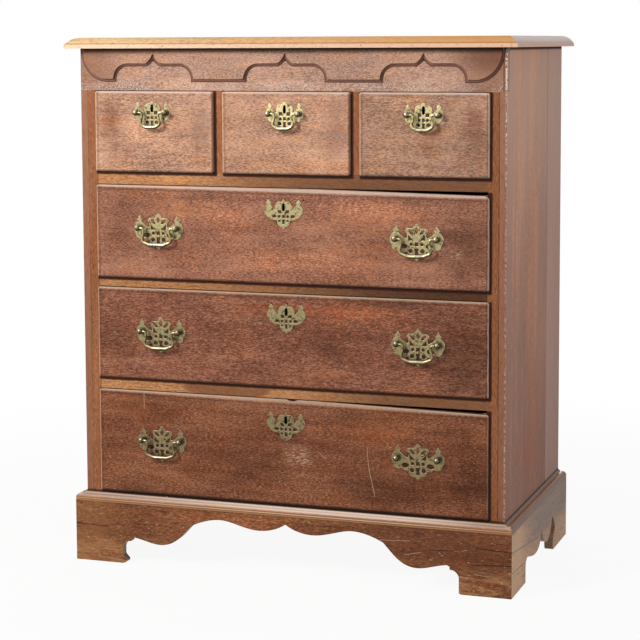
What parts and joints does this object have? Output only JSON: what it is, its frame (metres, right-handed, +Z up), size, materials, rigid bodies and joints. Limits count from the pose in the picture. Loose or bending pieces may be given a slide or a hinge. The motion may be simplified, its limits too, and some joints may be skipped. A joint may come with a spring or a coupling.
{
  "type": "chest of drawers",
  "caption": "Antique oak chest with short drawers over long lipped drawers, pierced brass handles, a fretted frieze, a moulded top and a scrolled bracket base.",
  "frame": {"origin": "middle of the overall box at floor level", "axes": "+X to the right seen from the front, +Y to the back, +Z up"},
  "size_m": [0.952, 0.53, 1.093],
  "materials": {
    "oak_top": "waxed old oak, worn along its moulded edge",
    "oak_case": "waxed old oak",
    "oak_front": "waxed reddish oak with rays and flecks",
    "oak_base": "waxed old oak, dark and knocked",
    "inner_wood": "dry unfinished oak and pine",
    "brass": "dull aged brass",
    "lock_iron": "dark old iron"
  },
  "bodies": {
    "carcase": {"top_board": "oak_top", "side_left": "oak_case", "side_right": "oak_case", "stiles": "oak_case", "frieze_rail": "oak_case", "frieze_fret": "oak_case", "drawer_dividers": "oak_case", "drawer_blades": "oak_case", "drawer_runners": "inner_wood", "back_boards": "inner_wood", "bottom_board": "inner_wood", "base_moulding": "oak_base", "bracket_front": "oak_base", "side_brackets": "oak_base", "back_brackets": "inner_wood", "foot_blocks": "inner_wood"},
    "short_left_drawer": {"short_left_front": "oak_front", "short_left_box": "inner_wood", "short_left_plates": "brass", "short_left_posts": "brass", "short_left_lock": "lock_iron"},
    "short_left_bolt": {"short_left_bolt": "lock_iron"},
    "short_left_bail": {"short_left_bail": "brass"},
    "short_middle_drawer": {"short_middle_front": "oak_front", "short_middle_box": "inner_wood", "short_middle_plates": "brass", "short_middle_posts": "brass", "short_middle_lock": "lock_iron"},
    "short_middle_bolt": {"short_middle_bolt": "lock_iron"},
    "short_middle_bail": {"short_middle_bail": "brass"},
    "short_right_drawer": {"short_right_front": "oak_front", "short_right_box": "inner_wood", "short_right_plates": "brass", "short_right_posts": "brass", "short_right_lock": "lock_iron"},
    "short_right_bolt": {"short_right_bolt": "lock_iron"},
    "short_right_bail": {"short_right_bail": "brass"},
    "long_high_drawer": {"long_high_front": "oak_front", "long_high_box": "inner_wood", "long_high_plates": "brass", "long_high_posts": "brass", "long_high_lock": "lock_iron"},
    "long_high_bolt": {"long_high_bolt": "lock_iron"},
    "long_high_bail_left": {"long_high_bail_left": "brass"},
    "long_high_bail_right": {"long_high_bail_right": "brass"},
    "long_middle_drawer": {"long_middle_front": "oak_front", "long_middle_box": "inner_wood", "long_middle_plates": "brass", "long_middle_posts": "brass", "long_middle_lock": "lock_iron"},
    "long_middle_bolt": {"long_middle_bolt": "lock_iron"},
    "long_middle_bail_left": {"long_middle_bail_left": "brass"},
    "long_middle_bail_right": {"long_middle_bail_right": "brass"},
    "long_low_drawer": {"long_low_front": "oak_front", "long_low_box": "inner_wood", "long_low_plates": "brass", "long_low_posts": "brass", "long_low_lock": "lock_iron"},
    "long_low_bolt": {"long_low_bolt": "lock_iron"},
    "long_low_bail_left": {"long_low_bail_left": "brass"}
  },
  "joints": [
    {"name": "short_left_slide", "type": "slide", "parent": "carcase", "child": "short_left_drawer", "axis": [0, -1, 0], "range_m": [0, 0.35]},
    {"name": "short_left_bolt_slide", "type": "slide", "parent": "short_left_drawer", "child": "short_left_bolt", "axis": [0, 0, 1], "range_m": [0, 0.008]},
    {"name": "short_left_bail_hinge", "type": "hinge", "parent": "short_left_drawer", "child": "short_left_bail", "pos_m": [-0.2883, -0.256, 0.9405], "axis": [-1, 0, 0], "range_deg": [-9, 189]},
    {"name": "short_middle_slide", "type": "slide", "parent": "carcase", "child": "short_middle_drawer", "axis": [0, -1, 0], "range_m": [0, 0.35]},
    {"name": "short_middle_bolt_slide", "type": "slide", "parent": "short_middle_drawer", "child": "short_middle_bolt", "axis": [0, 0, 1], "range_m": [0, 0.008]},
    {"name": "short_middle_bail_hinge", "type": "hinge", "parent": "short_middle_drawer", "child": "short_middle_bail", "pos_m": [-0.0012, -0.256, 0.9405], "axis": [-1, 0, 0], "range_deg": [-9, 189]},
    {"name": "short_right_slide", "type": "slide", "parent": "carcase", "child": "short_right_drawer", "axis": [0, -1, 0], "range_m": [0, 0.35]},
    {"name": "short_right_bolt_slide", "type": "slide", "parent": "short_right_drawer", "child": "short_right_bolt", "axis": [0, 0, 1], "range_m": [0, 0.008]},
    {"name": "short_right_bail_hinge", "type": "hinge", "parent": "short_right_drawer", "child": "short_right_bail", "pos_m": [0.2855, -0.256, 0.9405], "axis": [-1, 0, 0], "range_deg": [-9, 189]},
    {"name": "long_high_slide", "type": "slide", "parent": "carcase", "child": "long_high_drawer", "axis": [0, -1, 0], "range_m": [0, 0.35]},
    {"name": "long_high_bolt_slide", "type": "slide", "parent": "long_high_drawer", "child": "long_high_bolt", "axis": [0, 0, 1], "range_m": [0, 0.008]},
    {"name": "long_high_bail_left_hinge", "type": "hinge", "parent": "long_high_drawer", "child": "long_high_bail_left", "pos_m": [-0.2776, -0.256, 0.7046], "axis": [-1, 0, 0], "range_deg": [-9, 189]},
    {"name": "long_high_bail_right_hinge", "type": "hinge", "parent": "long_high_drawer", "child": "long_high_bail_right", "pos_m": [0.2718, -0.256, 0.6988], "axis": [-1, 0, 0], "range_deg": [-9, 189]},
    {"name": "long_middle_slide", "type": "slide", "parent": "carcase", "child": "long_middle_drawer", "axis": [0, -1, 0], "range_m": [0, 0.35]},
    {"name": "long_middle_bolt_slide", "type": "slide", "parent": "long_middle_drawer", "child": "long_middle_bolt", "axis": [0, 0, 1], "range_m": [0, 0.008]},
    {"name": "long_middle_bail_left_hinge", "type": "hinge", "parent": "long_middle_drawer", "child": "long_middle_bail_left", "pos_m": [-0.275, -0.256, 0.491], "axis": [-1, 0, 0], "range_deg": [-9, 189]},
    {"name": "long_middle_bail_right_hinge", "type": "hinge", "parent": "long_middle_drawer", "child": "long_middle_bail_right", "pos_m": [0.275, -0.256, 0.491], "axis": [-1, 0, 0], "range_deg": [-9, 189]},
    {"name": "long_low_slide", "type": "slide", "parent": "carcase", "child": "long_low_drawer", "axis": [0, -1, 0], "range_m": [0, 0.35]},
    {"name": "long_low_bolt_slide", "type": "slide", "parent": "long_low_drawer", "child": "long_low_bolt", "axis": [0, 0, 1], "range_m": [0, 0.008]},
    {"name": "long_low_bail_left_hinge", "type": "hinge", "parent": "long_low_drawer", "child": "long_low_bail_left", "pos_m": [-0.275, -0.256, 0.263], "axis": [-1, 0, 0], "range_deg": [-9, 189]}
  ]
}
